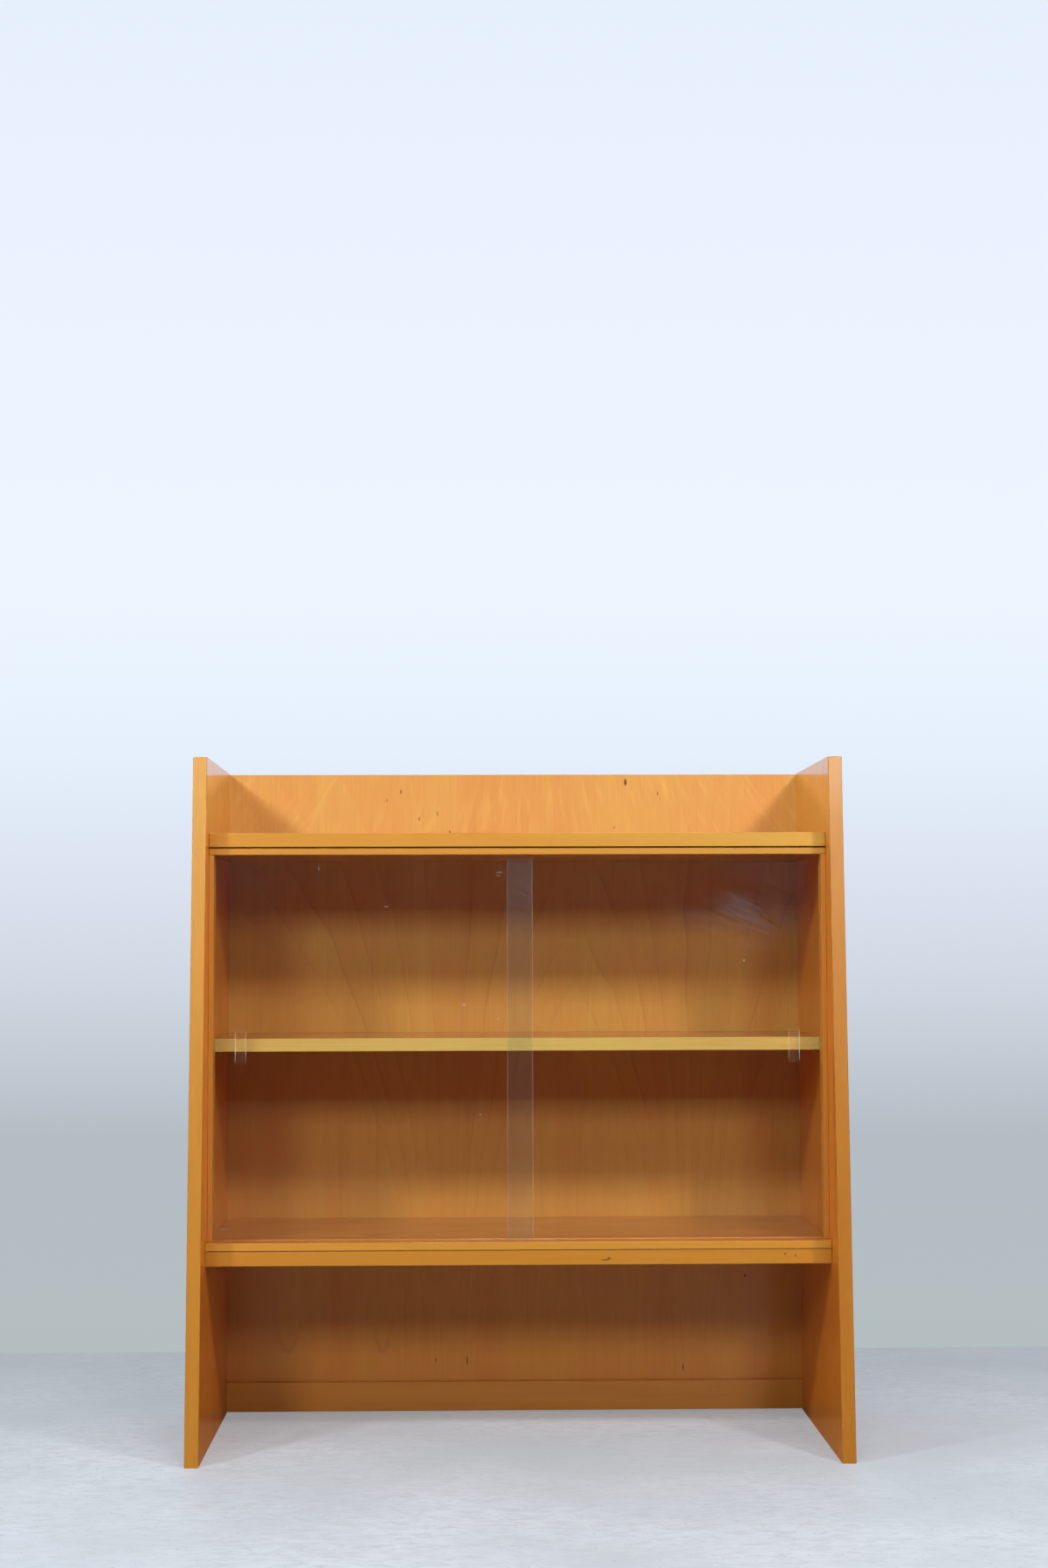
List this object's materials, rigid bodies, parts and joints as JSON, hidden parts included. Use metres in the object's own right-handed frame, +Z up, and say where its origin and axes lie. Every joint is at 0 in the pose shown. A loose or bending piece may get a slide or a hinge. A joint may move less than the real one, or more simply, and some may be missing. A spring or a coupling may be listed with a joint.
{
  "type": "bookcase with sliding glass doors",
  "caption": "Low wooden bookcase, sides deeper at the foot: open top tray, glazed middle bays behind two sliding glass doors, open bottom bay.",
  "frame": {"origin": "centre of the footprint on the floor", "axes": "+Z up, -Y out of the open front, +Y towards the back panel, +X to the right as seen from the front"},
  "size_m": [0.95, 0.448, 1.01],
  "materials": {
    "veneer": "satin",
    "back_veneer": "satin",
    "lipping": "satin",
    "beech": "matte",
    "brass": "satin",
    "steel": "satin",
    "glass": "gloss"
  },
  "bodies": {
    "cabinet": {"side_panel_left": "veneer", "side_lipping_left": "lipping", "side_panel_right": "veneer", "side_lipping_right": "lipping", "back_panel": "back_veneer", "top_shelf": "veneer", "top_shelf_lipping": "lipping", "lower_shelf": "veneer", "lower_shelf_lipping": "lipping", "middle_shelf": "veneer", "middle_shelf_lipping": "lipping", "shelf_pin_front_left": "brass", "shelf_pin_back_left": "brass", "shelf_pin_front_right": "brass", "shelf_pin_back_right": "brass", "cabinet_floor": "lipping", "cabinet_ceiling": "lipping", "jamb_left": "lipping", "jamb_right": "lipping", "bottom_rail": "veneer", "dowel_top_shelf_1_left": "beech", "dowel_top_shelf_1_right": "beech", "dowel_top_shelf_2_left": "beech", "dowel_top_shelf_2_right": "beech", "dowel_top_shelf_3_left": "beech", "dowel_top_shelf_3_right": "beech", "dowel_lower_shelf_1_left": "beech", "dowel_lower_shelf_1_right": "beech", "dowel_lower_shelf_2_left": "beech", "dowel_lower_shelf_2_right": "beech", "dowel_lower_shelf_3_left": "beech", "dowel_lower_shelf_3_right": "beech", "dowel_bottom_rail_1_left": "beech", "dowel_bottom_rail_1_right": "beech", "dowel_bottom_rail_2_left": "beech", "dowel_bottom_rail_2_right": "beech", "back_screw_left_1": "steel", "back_screw_left_2": "steel", "back_screw_left_3": "steel", "back_screw_left_4": "steel", "back_screw_top_shelf_left": "steel", "back_screw_lower_shelf_left": "steel", "back_screw_right_1": "steel", "back_screw_right_2": "steel", "back_screw_right_3": "steel", "back_screw_right_4": "steel", "back_screw_top_shelf_right": "steel", "back_screw_lower_shelf_right": "steel"},
    "front_door": {"front_glass_door": "glass"},
    "rear_door": {"rear_glass_door": "glass"}
  },
  "joints": [
    {"name": "front_door_slide", "type": "slide", "parent": "cabinet", "child": "front_door", "axis": [1, 0, 0], "range_m": [0, 0.4289]},
    {"name": "rear_door_slide", "type": "slide", "parent": "cabinet", "child": "rear_door", "axis": [1, 0, 0], "range_m": [-0.4339, 0]}
  ]
}
